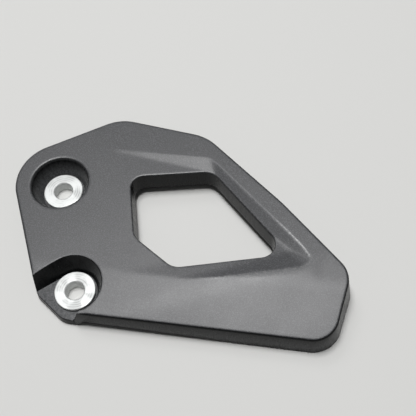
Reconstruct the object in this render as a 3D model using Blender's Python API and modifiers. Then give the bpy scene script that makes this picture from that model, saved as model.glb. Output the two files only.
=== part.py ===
"""Heel guard for a motorbike footrest plate: a moulded plate with a window, and two flanged bushes.

The plate is one moulding in glass-filled nylon, open at the back. Its skin carries two screw recesses,
a window, and a raised border that climbs towards the heel end. Its hidden side has the skirt, the
window's own skirt, a grid of ribs and a solid pad under each bush. The bushes are turned aluminium.

The sketch is drawn about the lower bush: +X runs along the front edge to the heel end, +Y away from
the front edge and +Z out of the face. All lengths are metres and all angles degrees. At the end the
whole part is moved so that its origin is the middle of its footprint, on the surface it lies on.
"""
import math
from typing import NamedTuple

import bmesh
import bpy
from mathutils import Vector

# Heights above the surface that the guard lies on
FACE_HEIGHT = 0.0105
FRONT_EDGE_HEIGHT = 0.0085
BUSH_FACE_HEIGHT = 0.0045
PAD_HEIGHT = 0.0005
WINDOW_SKIRT_HEIGHT = 0.0034

# Moulding
SKIN = 0.0024
WALL = 0.0021
DRAFT = 6.5
WINDOW_DRAFT = 4.0
EDGE_ROUND = 0.0005
SKIRT_TAPER = 1.6
RIB_THICKNESS = 0.0016
RIB_PITCH = 0.0105
RIB_INSET = 0.0004
CROSS_RIB_INSET = 0.0008

# Bushes
BUSH_SPAN_X = -0.0132
BUSH_SPAN_Y = 0.0377
BORE_RADIUS = 0.0032
SLEEVE_RADIUS = 0.0050
FLANGE_RADIUS = 0.0070
FLANGE_THICKNESS = 0.0010
BUSH_CHAMFER = 0.0003
BUSH_CLEARANCE = 0.0003

# Screw recesses
RECESS_MARGIN = 0.0004
RECESS_DRAFT = 21.0
RIM_ROUND = 0.0005
MOUTH_HEADING = 130.0
MOUTH_END = 0.0017

# Smoothness of the round stretches
CORNER_STEP = 8.0
TURNED_STEPS = 48
RIM_STEPS = 3

# How far a cutter reaches past what it cuts
REACH = 0.020
BEYOND = 0.120

COLLECTION = "heel_guard"
CUTTERS = "heel_guard_cutters"


class Edge(NamedTuple):
    """One straight side of a rounded polygon: which way it faces, how far out it is, its next corner."""

    heading: float
    distance: float
    corner: float


class Slope(NamedTuple):
    """A plane that climbs from its foot line on the flat face."""

    heading: float
    distance: float
    climb: float


# Outer outline at the height of the flat face: how far each side lies from the lower bush
FRONT_SIDE = 0.0093
HEEL_SIDE = 0.0867
DIAGONAL_SIDE = 0.0708
TOP_SIDE = 0.0668
TOE_SIDE = 0.0558
LEFT_SIDE = 0.0119
LUG_SIDE = 0.0087
DIAGONAL_BOW = 0.0017

# Corners of the outline, from the front edge round by the heel end
FRONT_CORNER = 0.0085
HEEL_CORNER = 0.0090
BOW_CORNER = 0.0600
TOP_CORNER = 0.0180
APEX_CORNER = 0.0150
TOE_CORNER = 0.0160
LEFT_CORNER = 0.0035
LUG_CORNER = 0.0060

# Window at the height of the flat face: its middle, and how far each side lies from that
WINDOW_X = 0.0380
WINDOW_Y = 0.0290
WINDOW_FRONT = 0.0176
WINDOW_DIAGONAL = 0.0149
WINDOW_BACK = 0.0181
WINDOW_LEFT = 0.0223
WINDOW_LOWER_LEFT = 0.0192
WINDOW_HEEL_CORNER = 0.0050
WINDOW_BACK_CORNER = 0.0065
WINDOW_LEFT_CORNER = 0.0045
WINDOW_LOWER_CORNER = 0.0070
WINDOW_FRONT_CORNER = 0.0065

# Foot lines of the raised border and of the slopes that drop from it to the window
BORDER_START = 0.0140
LOWER_START = 0.0064
DIAGONAL_START = 0.0625
UPPER_START = 0.0530
CREST_HEEL_CORNER = 0.0047
CREST_BACK_CORNER = 0.0090

OUTLINE = (
    Edge(-90.0, FRONT_SIDE, FRONT_CORNER),
    Edge(-10.7, HEEL_SIDE, HEEL_CORNER),
    Edge(46.5, DIAGONAL_SIDE + DIAGONAL_BOW, BOW_CORNER),
    Edge(50.5, DIAGONAL_SIDE, TOP_CORNER),
    Edge(81.3, TOP_SIDE, APEX_CORNER),
    Edge(121.5, TOE_SIDE, TOE_CORNER),
    Edge(204.8, LEFT_SIDE, LEFT_CORNER),
    Edge(234.0, LUG_SIDE, LUG_CORNER),
)
WINDOW_MIDDLE = Vector((WINDOW_X, WINDOW_Y))
WINDOW = (
    Edge(-76.3, WINDOW_FRONT, WINDOW_HEEL_CORNER),
    Edge(45.8, WINDOW_DIAGONAL, WINDOW_BACK_CORNER),
    Edge(100.1, WINDOW_BACK, WINDOW_LEFT_CORNER),
    Edge(194.4, WINDOW_LEFT, WINDOW_LOWER_CORNER),
    Edge(236.7, WINDOW_LOWER_LEFT, WINDOW_FRONT_CORNER),
)
BORDER = Slope(13.1, BORDER_START, 1.6)
LOWER_SLOPE = Slope(-67.5, LOWER_START, 10.4)
HEEL_SLOPE = Slope(45.8, DIAGONAL_START, 20.0)
UPPER_SLOPE = Slope(81.2, UPPER_START, 11.0)

# How far the bowl runs on past the border's hinge line
BORDER_OVERLAP = 0.0030

# The band along the front edge leans forward
BAND_LEAN = 9.5


def unit(heading):
    """Return the plan direction of a heading."""
    angle = math.radians(heading)
    return Vector((math.cos(angle), math.sin(angle)))


def crossing(first, second, inset):
    """Return the point that lies inset inside two edges."""
    a, b = unit(first.heading), unit(second.heading)
    p, q = first.distance - inset, second.distance - inset
    det = a.x * b.y - a.y * b.x
    return Vector(((p * b.y - q * a.y) / det, (q * a.x - p * b.x) / det))


def rounded(edges, grow=0.0, middle=Vector((0.0, 0.0))):
    """Return the points of a convex polygon with round corners, grown outwards by grow."""
    points = []
    for edge, after in zip(edges, edges[1:] + edges[:1]):
        turn = (after.heading - edge.heading) % 360.0
        steps = max(1, round(turn / CORNER_STEP))
        grown = Edge(edge.heading, edge.distance + grow, 0.0)
        next_grown = Edge(after.heading, after.distance + grow, 0.0)
        radius = max(edge.corner + grow, EDGE_ROUND) if edge.corner else 0.0
        centre = crossing(grown, next_grown, radius) + middle
        if not radius:
            points.append(centre)
            continue
        points += [centre + radius * unit(edge.heading + turn * i / steps) for i in range(steps + 1)]
    return points


def at_height(points, height):
    """Return plan points lifted to a height, or to the height that a function gives each of them."""
    lift = height if callable(height) else lambda point: height
    return [Vector((point.x, point.y, lift(point))) for point in points]


def collection(name):
    """Return a new collection linked to the scene."""
    made = bpy.data.collections.new(name)
    bpy.context.scene.collection.children.link(made)
    return made


def add_object(name, mesh, group):
    """Return a new object for a mesh, in a collection; a cutter is drawn as a wire."""
    obj = bpy.data.objects.new(name, mesh)
    bpy.data.collections[group].objects.link(obj)
    if group == CUTTERS:
        obj.hide_render = True
        obj.display_type = "WIRE"
    return obj


def finish_mesh(bm, name):
    """Turn all faces outwards and return the bmesh as a mesh."""
    bmesh.ops.recalc_face_normals(bm, faces=bm.faces)
    mesh = bpy.data.meshes.new(name)
    bm.to_mesh(mesh)
    bm.free()
    return mesh


def loft(name, rings, group=CUTTERS):
    """Return a closed solid through rings that have the same number of points."""
    bm = bmesh.new()
    rows = [[bm.verts.new(point) for point in ring] for ring in rings]
    for lower, upper in zip(rows, rows[1:]):
        for i in range(len(lower)):
            j = (i + 1) % len(lower)
            bm.faces.new((lower[i], lower[j], upper[j], upper[i]))
    bm.faces.new(reversed(rows[0]))
    bm.faces.new(rows[-1])
    return add_object(name, finish_mesh(bm, name), group)


def turned(name, profile, location, group=CUTTERS):
    """Return a turned solid from a profile of (radius, height) that runs down its outer side."""
    bm = bmesh.new()
    verts = [bm.verts.new((radius, 0.0, height)) for radius, height in profile]
    for upper, lower in zip(verts, verts[1:]):
        bm.edges.new((upper, lower))
    if profile[0][0]:
        bm.edges.new((verts[-1], verts[0]))
    mesh = bpy.data.meshes.new(name)
    bm.to_mesh(mesh)
    bm.free()
    obj = add_object(name, mesh, group)
    obj.location = location
    screw = obj.modifiers.new("turn", "SCREW")
    screw.steps = TURNED_STEPS
    screw.render_steps = TURNED_STEPS
    screw.use_merge_vertices = True
    screw.merge_threshold = 0.00001
    screw.use_smooth_shade = True
    return obj


def cut(obj, cutter, operation="DIFFERENCE"):
    """Add a Boolean of a cutter to an object."""
    modifier = obj.modifiers.new(cutter.name, "BOOLEAN")
    modifier.operation = operation
    modifier.object = cutter
    modifier.solver = "EXACT"
    return modifier


def flare(height, draft):
    """Return how far a drafted wall has moved at a height above or below the flat face."""
    return (FACE_HEIGHT - height) * math.tan(math.radians(draft))


def climb_cutter(name, drop):
    """Return everything above the flat face and above the border's climb, lowered by drop."""
    along, across = unit(BORDER.heading + 90.0), unit(BORDER.heading)
    hinge = across * BORDER.distance
    climb = BEYOND * math.tan(math.radians(BORDER.climb))
    section = [(0.0, 0.0), (BEYOND, climb), (BEYOND, REACH), (-BEYOND, REACH), (-BEYOND, 0.0)]
    rings = []
    for side in (-BEYOND, BEYOND):
        points = [(hinge + along * side + across * run, rise) for run, rise in section]
        rings.append([Vector((p.x, p.y, FACE_HEIGHT - drop + rise)) for p, rise in points])
    return loft(name, rings)


def bowl_cutter(name, drop):
    """Return the shallow bowl that the border's three slopes leave round the window, lowered by drop."""
    open_side = Edge(BORDER.heading + 180.0, BORDER_OVERLAP - BORDER.distance, 0.0)
    slopes = (LOWER_SLOPE, HEEL_SLOPE, UPPER_SLOPE)
    corners = (CREST_HEEL_CORNER, CREST_BACK_CORNER, 0.0)
    rings = []
    for rise in (0.0, REACH / 2.0):
        edges = []
        for slope, corner in zip(slopes, corners):
            run = rise / math.tan(math.radians(slope.climb))
            edges.append(Edge(slope.heading, slope.distance + run, corner))
        rings.append(at_height(rounded((*edges, open_side)), FACE_HEIGHT - drop + rise))
    return loft(name, rings)


def band_cutter(name, drop):
    """Return everything above the leaning band along the front edge, lowered by drop."""
    front = -OUTLINE[0].distance
    lean = math.tan(math.radians(BAND_LEAN))

    def band_height(y):
        return FRONT_EDGE_HEIGHT - drop + (y - front) * lean

    sides = (-BEYOND, BEYOND)
    section = [(front - REACH, band_height(front - REACH)), (BEYOND, band_height(BEYOND))]
    section += [(BEYOND, band_height(BEYOND) + REACH), (front - REACH, FACE_HEIGHT + REACH)]
    return loft(name, [[Vector((x, y, z)) for y, z in section] for x in sides])


def skirt_height(x):
    """Return the height of the skirt's lower rim, which tapers to the surface at the heel end."""
    heel_end = max(point.x for point in rounded(OUTLINE, flare(0.0, DRAFT)))
    return (heel_end - x) * math.tan(math.radians(SKIRT_TAPER))


def recess_floor():
    """Return the height of the recess floor, just under the bush's flange."""
    return BUSH_FACE_HEIGHT - FLANGE_THICKNESS - BUSH_CLEARANCE


def recess_radius(height):
    """Return the radius of a screw recess at a height."""
    floor = FLANGE_RADIUS + RECESS_MARGIN
    return floor + (height - recess_floor()) * math.tan(math.radians(RECESS_DRAFT))


def rim_steps(draft):
    """Return (height, grow) down the round rim between the flat face and a wall with this draft."""
    steps = []
    for i in range(RIM_STEPS + 1):
        angle = math.radians((90.0 - draft) * i / RIM_STEPS)
        steps.append((FACE_HEIGHT - RIM_ROUND * (1.0 - math.cos(angle)), RIM_ROUND * (1.0 - math.sin(angle))))
    return steps


def recess_cutter(name, location):
    """Return the cone of a screw recess with a round rim at the flat face, and its bush's seat below."""
    rim = [(recess_radius(height) + grow, height) for height, grow in rim_steps(RECESS_DRAFT)]
    profile = [(0.0, FACE_HEIGHT + REACH), (rim[0][0], FACE_HEIGHT + REACH), *rim]
    seat = SLEEVE_RADIUS + BUSH_CLEARANCE
    profile += [(recess_radius(recess_floor()), recess_floor()), (seat, recess_floor())]
    return turned(name, profile + [(seat, -REACH), (0.0, -REACH)], location)


def window_cutter(name):
    """Return the window's drafted opening, with a round rim at the flat face."""
    rim = rim_steps(WINDOW_DRAFT)
    levels = [(FACE_HEIGHT + REACH, rim[0][1]), *rim, (-REACH, -flare(-REACH, WINDOW_DRAFT))]
    return loft(name, [at_height(rounded(WINDOW, grow, WINDOW_MIDDLE), z) for z, grow in reversed(levels)])


def pad_solid(name, location):
    """Return the solid cup that stays round a recess, from its pad up."""
    profile = [(0.0, FACE_HEIGHT + REACH), (recess_radius(FACE_HEIGHT + REACH) + WALL, FACE_HEIGHT + REACH)]
    profile += [(recess_radius(PAD_HEIGHT) + WALL, PAD_HEIGHT), (0.0, PAD_HEIGHT)]
    return turned(name, profile, location)


def mouth(height, grow):
    """Return the plan of the lower recess's open mouth at a height, grown outwards by grow."""
    radius = recess_radius(height) + grow
    tangent = radius * unit(MOUTH_HEADING)
    end = MOUTH_END + recess_radius(height) - recess_radius(recess_floor()) + grow
    away = tangent + unit(MOUTH_HEADING + 90.0) * 2.0 * REACH
    points = [tangent, away, Vector((away.x, -2.0 * REACH)), Vector((end, -2.0 * REACH))]
    return at_height(points + [Vector((end, tangent.y))], height)


def rib_bars(name, lengthwise):
    """Return a row of parallel ribs, whose feet stay just inside the skirt's rim."""
    outline = rounded(OUTLINE, flare(0.0, DRAFT))
    low = Vector((min(p.x for p in outline), min(p.y for p in outline)))
    high = Vector((max(p.x for p in outline), max(p.y for p in outline)))
    start, stop = (low.y, high.y) if lengthwise else (low.x, high.x)
    bm = bmesh.new()
    for i in range(math.ceil(start / RIB_PITCH), math.floor(stop / RIB_PITCH) + 1):
        bar = bmesh.ops.create_cube(bm, size=1.0)["verts"]
        for vert in bar:
            sides = (high.x if vert.co.x > 0 else low.x, high.y if vert.co.y > 0 else low.y)
            across = i * RIB_PITCH + RIB_THICKNESS * vert.co.to_tuple()[1 if lengthwise else 0]
            x, y = (sides[0], across) if lengthwise else (across, sides[1])
            foot = skirt_height(x) + (RIB_INSET if lengthwise else CROSS_RIB_INSET)
            vert.co = (x, y, FACE_HEIGHT + REACH if vert.co.z > 0 else foot)
    return add_object(name, finish_mesh(bm, name), CUTTERS)


def material(name, colour, roughness, metallic):
    """Return a Principled material."""
    made = bpy.data.materials.new(name)
    made.use_nodes = True
    shader = made.node_tree.nodes["Principled BSDF"]
    shader.inputs["Base Color"].default_value = (*colour, 1.0)
    shader.inputs["Roughness"].default_value = roughness
    shader.inputs["Metallic"].default_value = metallic
    return made


def make_core(upper, lower):
    """Return the open back of the plate: its inside and all below its skirt, less what stays in there."""
    inner = [at_height(rounded(OUTLINE, flare(z, DRAFT) - WALL), z) for z in (-REACH, FACE_HEIGHT)]
    core = loft("core", inner)
    sides = (-BEYOND, BEYOND)
    section = [(x, skirt_height(x)) for x in sides] + [(BEYOND, -2.0 * REACH), (-BEYOND, -2.0 * REACH)]
    cut(core, loft("underside", [[Vector((x, y, z)) for x, z in section] for y in sides]), "UNION")
    rings = [
        at_height(rounded(WINDOW, WALL - flare(z, WINDOW_DRAFT), WINDOW_MIDDLE), z)
        for z in (WINDOW_SKIRT_HEIGHT, FACE_HEIGHT + REACH)
    ]
    keep = [climb_cutter("skin_climb", SKIN), bowl_cutter("skin_bowl", SKIN)]
    keep += [band_cutter("skin_band", SKIN), loft("window_skirt", rings)]
    keep += [pad_solid("pad_upper", upper), pad_solid("pad_lower", lower)]
    heights = (PAD_HEIGHT, FACE_HEIGHT + REACH)
    keep += [loft("pad_mouth", [mouth(height, WALL) for height in heights])]
    keep += [rib_bars("ribs_lengthwise", True), rib_bars("ribs_crosswise", False)]
    for solid in keep:
        cut(core, solid)
    below = [
        at_height(rounded(WINDOW, WALL + RIB_INSET - flare(z, WINDOW_DRAFT), WINDOW_MIDDLE), z)
        for z in (-REACH, WINDOW_SKIRT_HEIGHT)
    ]
    cut(core, loft("window_foot", below), "UNION")
    return core


def make_plate(upper, lower):
    """Return the moulded plate."""
    heights = (-REACH / 2.0, FACE_HEIGHT + REACH / 2.0)
    outer = [at_height(rounded(OUTLINE, flare(z, DRAFT)), z) for z in heights]
    plate = loft("guard_plate", outer, COLLECTION)
    cut(plate, climb_cutter("face_climb", 0.0))
    cut(plate, band_cutter("face_band", 0.0))
    bevel = plate.modifiers.new("round_edges", "BEVEL")
    bevel.limit_method = "ANGLE"
    bevel.angle_limit = math.radians(40.0)
    bevel.width = EDGE_ROUND
    bevel.segments = 2
    bevel.use_clamp_overlap = False
    cut(plate, bowl_cutter("face_bowl", 0.0))
    cut(plate, window_cutter("window"))
    cut(plate, make_core(upper, lower))
    cut(plate, loft("recess_mouth", [mouth(z, 0.0) for z in (recess_floor(), FACE_HEIGHT + REACH)]))
    cut(plate, recess_cutter("recess_lower", lower))
    cut(plate, recess_cutter("recess_upper", upper))
    return plate


def make_bush(name, location):
    """Return a flanged bush, turned from bar, with broken edges."""
    top, bottom, shoulder = BUSH_FACE_HEIGHT, 0.0, BUSH_FACE_HEIGHT - FLANGE_THICKNESS
    break_edge = BUSH_CHAMFER
    profile = [
        (BORE_RADIUS, bottom + break_edge),
        (BORE_RADIUS, top - break_edge),
        (BORE_RADIUS + break_edge, top),
        (FLANGE_RADIUS - break_edge, top),
        (FLANGE_RADIUS, top - break_edge),
        (FLANGE_RADIUS, shoulder),
        (SLEEVE_RADIUS, shoulder),
        (SLEEVE_RADIUS, bottom + break_edge),
        (SLEEVE_RADIUS - break_edge, bottom),
        (BORE_RADIUS + break_edge, bottom),
    ]
    return turned(name, profile, location, COLLECTION)


def footprint_middle(plate):
    """Return the middle of the plate's footprint, on the surface that it lies on."""
    evaluated = plate.evaluated_get(bpy.context.evaluated_depsgraph_get())
    corners = [Vector(corner) for corner in evaluated.bound_box]
    low = Vector(min(corner[i] for corner in corners) for i in range(3))
    high = Vector(max(corner[i] for corner in corners) for i in range(3))
    return Vector(((low.x + high.x) / 2.0, (low.y + high.y) / 2.0, 0.0))


def build():
    """Build the guard and put its origin under the middle of its footprint."""
    for obj in list(bpy.data.objects):
        bpy.data.objects.remove(obj)
    collection(COLLECTION)
    collection(CUTTERS)
    lower = Vector((0.0, 0.0, 0.0))
    upper = Vector((BUSH_SPAN_X, BUSH_SPAN_Y, 0.0))
    plate = make_plate(upper, lower)
    plate.data.materials.append(material("black_nylon", (0.030, 0.030, 0.032), 0.55, 0.0))
    for name, place in (("bush_upper", upper), ("bush_lower", lower)):
        aluminium = material(name + "_aluminium", (0.80, 0.80, 0.79), 0.30, 1.0)
        make_bush(name, place).data.materials.append(aluminium)
    middle = footprint_middle(plate)
    for obj in bpy.data.objects:
        obj.location -= middle


build()
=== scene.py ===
"""Heel guard for a motorbike footrest plate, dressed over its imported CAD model.

The guard is one black glass-filled nylon moulding with two turned aluminium bushes in it. All sketch
sizes here are millimetres about the lower bush: +X along the front edge, +Y away from it, +Z out of the
face. `Frame.mesh` turns them into metres in the row frame.
"""

from __future__ import annotations

import logging
import math
from collections.abc import Callable, Sequence
from dataclasses import dataclass, field
from enum import Enum
from typing import Any

import bmesh
import bpy
import numpy as np
from mathutils import Matrix, Vector
from mathutils.geometry import delaunay_2d_cdt


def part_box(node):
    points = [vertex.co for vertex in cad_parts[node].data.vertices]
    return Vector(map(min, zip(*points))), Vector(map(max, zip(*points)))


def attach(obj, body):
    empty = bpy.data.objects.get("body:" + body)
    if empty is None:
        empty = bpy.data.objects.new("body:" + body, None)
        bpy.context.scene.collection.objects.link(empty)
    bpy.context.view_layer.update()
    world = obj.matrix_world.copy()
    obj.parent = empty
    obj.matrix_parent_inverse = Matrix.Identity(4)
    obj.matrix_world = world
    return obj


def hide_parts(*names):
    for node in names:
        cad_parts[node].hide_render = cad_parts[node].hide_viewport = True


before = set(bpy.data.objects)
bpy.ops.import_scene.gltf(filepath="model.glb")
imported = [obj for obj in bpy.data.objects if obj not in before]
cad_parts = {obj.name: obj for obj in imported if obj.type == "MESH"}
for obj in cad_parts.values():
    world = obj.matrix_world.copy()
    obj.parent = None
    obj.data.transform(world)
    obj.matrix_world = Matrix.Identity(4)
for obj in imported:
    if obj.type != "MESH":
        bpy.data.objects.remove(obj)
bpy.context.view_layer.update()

LOG = logging.getLogger("heel_guard")
Height = Callable[[np.ndarray], np.ndarray]
Span = tuple[float, float]
Place = tuple[float, float, float]
Tree = bpy.types.NodeTree
Socket = bpy.types.NodeSocket

MM_PER_M = 1000.0
# The triangulation's output that fills a loop and leaves its holes open.
FILL_AROUND_HOLES = 2
# An even triangle's height over its side.
ROW = 0.866
# Passes after which a wall line's meeting with a surface no longer moves.
MEETING_PASSES = 12
# Distance in the mesh's own unit under which two of its points are one.
SAME_POINT = 1e-6
# Blend width that stands for none, in millimetres.
LEAST_BLEND = 1e-4
# Radians by which a wave texture's phase grows over one unit.
WAVE_PHASE = 20.0
NYLON_IOR = 1.5


class Way(Enum):
    """Which way a stretch of the outline goes between the corners of the lower recess's mouth."""

    BY_HEEL_END = "from the front corner round by the heel end to the left corner"
    BY_LUG = "from the left corner round the lug to the front corner"


class Run(Enum):
    """The way that a rib runs. Its value is the axis along it."""

    LENGTHWISE = 0
    CROSSWISE = 1


class MouldingSlot(Enum):
    """The moulding's material slots, in their order."""

    WALL = 0
    FACE = 1


def unit(heading: float) -> np.ndarray:
    """Return the plan direction of a heading in degrees."""
    return np.array([math.cos(math.radians(heading)), math.sin(math.radians(heading))])


def slope_of(angle: float) -> float:
    """Return how far a line at an angle in degrees goes across for each unit along."""
    return math.tan(math.radians(angle))


def nearest(distance: np.ndarray, allowed: np.ndarray) -> int:
    """Return the index of the least distance among those allowed."""
    return int(np.argmin(np.where(allowed, distance, np.inf)))


def smooth_min(a: np.ndarray, b: np.ndarray, width: np.ndarray | float) -> np.ndarray:
    """Return the lower of two heights, blended where they differ by less than width."""
    overlap = np.maximum(width - np.abs(a - b), 0.0) / width
    return np.minimum(a, b) - overlap * overlap * width / 4.0


def smooth_max(a: np.ndarray, b: np.ndarray, width: np.ndarray | float) -> np.ndarray:
    """Return the higher of two heights, blended where they differ by less than width."""
    return -smooth_min(-a, -b, width)


def linear(colour: str) -> tuple[float, float, float, float]:
    """Return an sRGB hex colour as linear light.

    Args:
        colour: The colour, as #rrggbb.

    Returns:
        Its red, green and blue, and a full alpha.
    """
    parts = [int(colour[i : i + 2], 16) / 255.0 for i in (1, 3, 5)]
    red, green, blue = (c / 12.92 if c <= 0.04045 else ((c + 0.055) / 1.055) ** 2.4 for c in parts)
    return red, green, blue, 1.0


def add_node(
    tree: Tree, kind: str, settings: dict[str, Any] | None = None, inputs: dict[Any, Any] | None = None
) -> bpy.types.Node:
    """Add a node to a tree.

    Args:
        tree: The tree.
        kind: The node's type.
        settings: Its properties.
        inputs: For each of its sockets a value, or the output that feeds it.

    Returns:
        The node.
    """
    node = tree.nodes.new(kind)
    for name, value in (settings or {}).items():
        setattr(node, name, value)
    for name, value in (inputs or {}).items():
        if isinstance(value, Socket):
            tree.links.new(value, node.inputs[name])
        else:
            node.inputs[name].default_value = value
    return node


def set_input(modifier: bpy.types.NodesModifier, name: str, value: Any) -> None:
    """Set a Geometry Nodes modifier's input by its socket's identifier."""
    sockets = {item.name: item.identifier for item in modifier.node_group.interface.items_tree}
    modifier[sockets[name]] = value


def put_in_scene(obj: bpy.types.Object) -> bpy.types.Object:
    """Link an object to the scene and return it."""
    bpy.context.scene.collection.objects.link(obj)
    return obj


def level(height: float) -> Height:
    """Return the surface that lies flat at a height."""
    return lambda plan: np.full(len(plan), height)


@dataclass(frozen=True)
class Edge:
    """One straight side of a rounded polygon: which way it faces, how far out it is, its next corner."""

    heading: float
    distance: float
    corner: float


@dataclass(frozen=True)
class Slope:
    """A plane that climbs from its foot line on the flat face, and the width of its blend at the foot."""

    heading: float
    distance: float
    climb: float
    blend: float

    def rise(self, plan: np.ndarray) -> np.ndarray:
        """Return how far the plane is above the flat face over plan points."""
        return (plan @ unit(self.heading) - self.distance) * slope_of(self.climb)


@dataclass(frozen=True)
class Fade:
    """A change that sets in smoothly from one place to another."""

    start: float
    stop: float
    change: float

    def at(self, place: np.ndarray) -> np.ndarray:
        """Return how much of the change has set in at places."""
        share = np.clip((place - self.start) / (self.stop - self.start), 0.0, 1.0)
        return self.change * share * share * (3.0 - 2.0 * share)


@dataclass(frozen=True)
class Growth:
    """A size that grows evenly with the distance from a corner."""

    start: float
    rate: float

    def at(self, distance: np.ndarray) -> np.ndarray:
        """Return the size at distances from the corner."""
        return self.start + self.rate * distance


@dataclass
class Columns:
    """Wall lines: each starts at a plan point at the face's height and drifts as it goes down."""

    foot: np.ndarray
    drift: np.ndarray
    datum: float

    def __len__(self) -> int:
        """Return the number of columns."""
        return len(self.foot)

    def at(self, height: np.ndarray | float) -> np.ndarray:
        """Return the plan points at a height, or at one height for each column."""
        depth = self.datum - np.asarray(height, float)
        return self.foot + self.drift * (depth[:, None] if depth.ndim else depth)

    def ring(self, height: np.ndarray | float) -> np.ndarray:
        """Return the 3-D points at a height, or at one height for each column."""
        plan = self.at(height)
        return np.column_stack([plan, np.broadcast_to(height, len(plan))])

    def part(self, start: int, stop: int) -> Columns:
        """Return a stretch of the columns, which may go round the end of the loop.

        Args:
            start: Index of its first column.
            stop: Index of its last column.

        Returns:
            The stretch, with both of them in it.
        """
        count = len(self)
        index = [(start + i) % count for i in range((stop - start) % count + 1)]
        return Columns(self.foot[index], self.drift[index], self.datum)

    def first(self) -> Columns:
        """Return the first column by itself."""
        return self.part(0, 0)

    def last(self) -> Columns:
        """Return the last column by itself."""
        return self.part(-1, -1)

    def reversed(self) -> Columns:
        """Return the columns the other way round."""
        return Columns(self.foot[::-1], self.drift[::-1], self.datum)

    def meet(self, surface: Height) -> np.ndarray:
        """Return the height at which each column meets a surface.

        Args:
            surface: Gives the surface's height over plan points.

        Returns:
            One height for each column.
        """
        height = np.full(len(self), self.datum)
        for _ in range(MEETING_PASSES):
            height = surface(self.at(height))
        return height


def join(parts: Sequence[Columns]) -> Columns:
    """Return the columns of several parts, one after the other."""
    return Columns(np.vstack([p.foot for p in parts]), np.vstack([p.drift for p in parts]), parts[0].datum)


def spread(first: Columns, second: Columns, parts: int) -> Columns:
    """Return the columns that divide the wall between two columns.

    Args:
        first: The column on one side.
        second: The column on the other side.
        parts: How many equal parts the wall is divided into.

    Returns:
        The columns between the two, without them.
    """
    share = np.array([k / parts for k in range(1, parts)])[:, None]
    foot = first.foot * (1.0 - share) + second.foot * share
    return Columns(foot, first.drift * (1.0 - share) + second.drift * share, first.datum)


@dataclass(frozen=True)
class Polygon:
    """A convex rounded polygon whose walls are drafted.

    A positive draft makes it grow on its way down, as a plate's outside does.
    """

    edges: tuple[Edge, ...]
    draft: float
    middle: Span = (0.0, 0.0)

    def columns(
        self, datum: float, grow: float = 0.0, turn_step: float = 3.0, pitch: float = 1.2
    ) -> Columns:
        """Return the wall lines, starting at the first edge's last corner.

        Args:
            datum: Height at which the edges lie at their stated distances.
            grow: Distance by which the polygon is grown outwards.
            turn_step: Largest turn between the points of a corner, in degrees.
            pitch: Largest spacing of the points on a straight side.

        Returns:
            The columns, anticlockwise.
        """
        foot: list[np.ndarray] = []
        normal: list[np.ndarray] = []
        for edge, after in zip(self.edges, self.edges[1:] + self.edges[:1]):
            turn = (after.heading - edge.heading) % 360.0
            basis = np.array([unit(edge.heading), unit(after.heading)])
            inset = np.array([edge.distance - edge.corner, after.distance - edge.corner])
            centre = np.linalg.solve(basis, inset) + np.array(self.middle)
            steps = max(2, math.ceil(turn / turn_step))
            arc = [unit(edge.heading + turn * k / steps) for k in range(steps + 1)]
            if foot:
                self._straight(foot, normal, centre + (edge.corner + grow) * arc[0], arc[0], pitch)
            foot += [centre + (edge.corner + grow) * direction for direction in arc]
            normal += arc
        self._straight(foot, normal, foot[0], normal[0], pitch)
        return Columns(np.array(foot), np.array(normal) * slope_of(self.draft), datum)

    @staticmethod
    def _straight(
        foot: list[np.ndarray], normal: list[np.ndarray], end: np.ndarray, direction: np.ndarray, pitch: float
    ) -> None:
        """Add the points of a straight side, without its ends.

        Args:
            foot: The points so far, which end where the side starts.
            normal: The way that the wall faces at each of them.
            end: Where the side ends.
            direction: The way that the side faces.
            pitch: Largest spacing of the points.
        """
        start = foot[-1]
        steps = max(1, math.ceil(float(np.linalg.norm(end - start)) / pitch))
        for k in range(1, steps):
            foot.append(start + (end - start) * k / steps)
            normal.append(direction)


def inside_loop(plan: np.ndarray, loop: np.ndarray) -> np.ndarray:
    """Tell which plan points lie inside a closed loop, by counting crossings.

    Args:
        plan: The plan points.
        loop: The loop's plan points.

    Returns:
        True for each point inside.
    """
    x, y = plan[:, 0][:, None], plan[:, 1][:, None]
    x0, y0 = loop[:, 0][None], loop[:, 1][None]
    x1, y1 = np.roll(loop[:, 0], -1)[None], np.roll(loop[:, 1], -1)[None]
    between = (y0 > y) != (y1 > y)
    with np.errstate(divide="ignore", invalid="ignore"):
        at = x0 + (y - y0) * (x1 - x0) / (y1 - y0)
    return (np.sum(between & (x < at), axis=1) % 2) == 1


def miters(loop: np.ndarray, sharpest: float = 0.3) -> np.ndarray:
    """Return the offsets that move both sides of each point of a loop in by one.

    Args:
        loop: The loop's plan points, anticlockwise.
        sharpest: Least divisor, which keeps the offset at a sharp corner short.

    Returns:
        One offset for each point.
    """
    ahead = np.roll(loop, -1, axis=0) - loop
    ahead /= np.linalg.norm(ahead, axis=1)[:, None]
    behind = np.roll(ahead, 1, axis=0)
    left = np.column_stack([-ahead[:, 1], ahead[:, 0]])
    left_behind = np.column_stack([-behind[:, 1], behind[:, 0]])
    scale = 1.0 + np.sum(left * left_behind, axis=1)
    return (left + left_behind) / np.maximum(scale, sharpest)[:, None]


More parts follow.
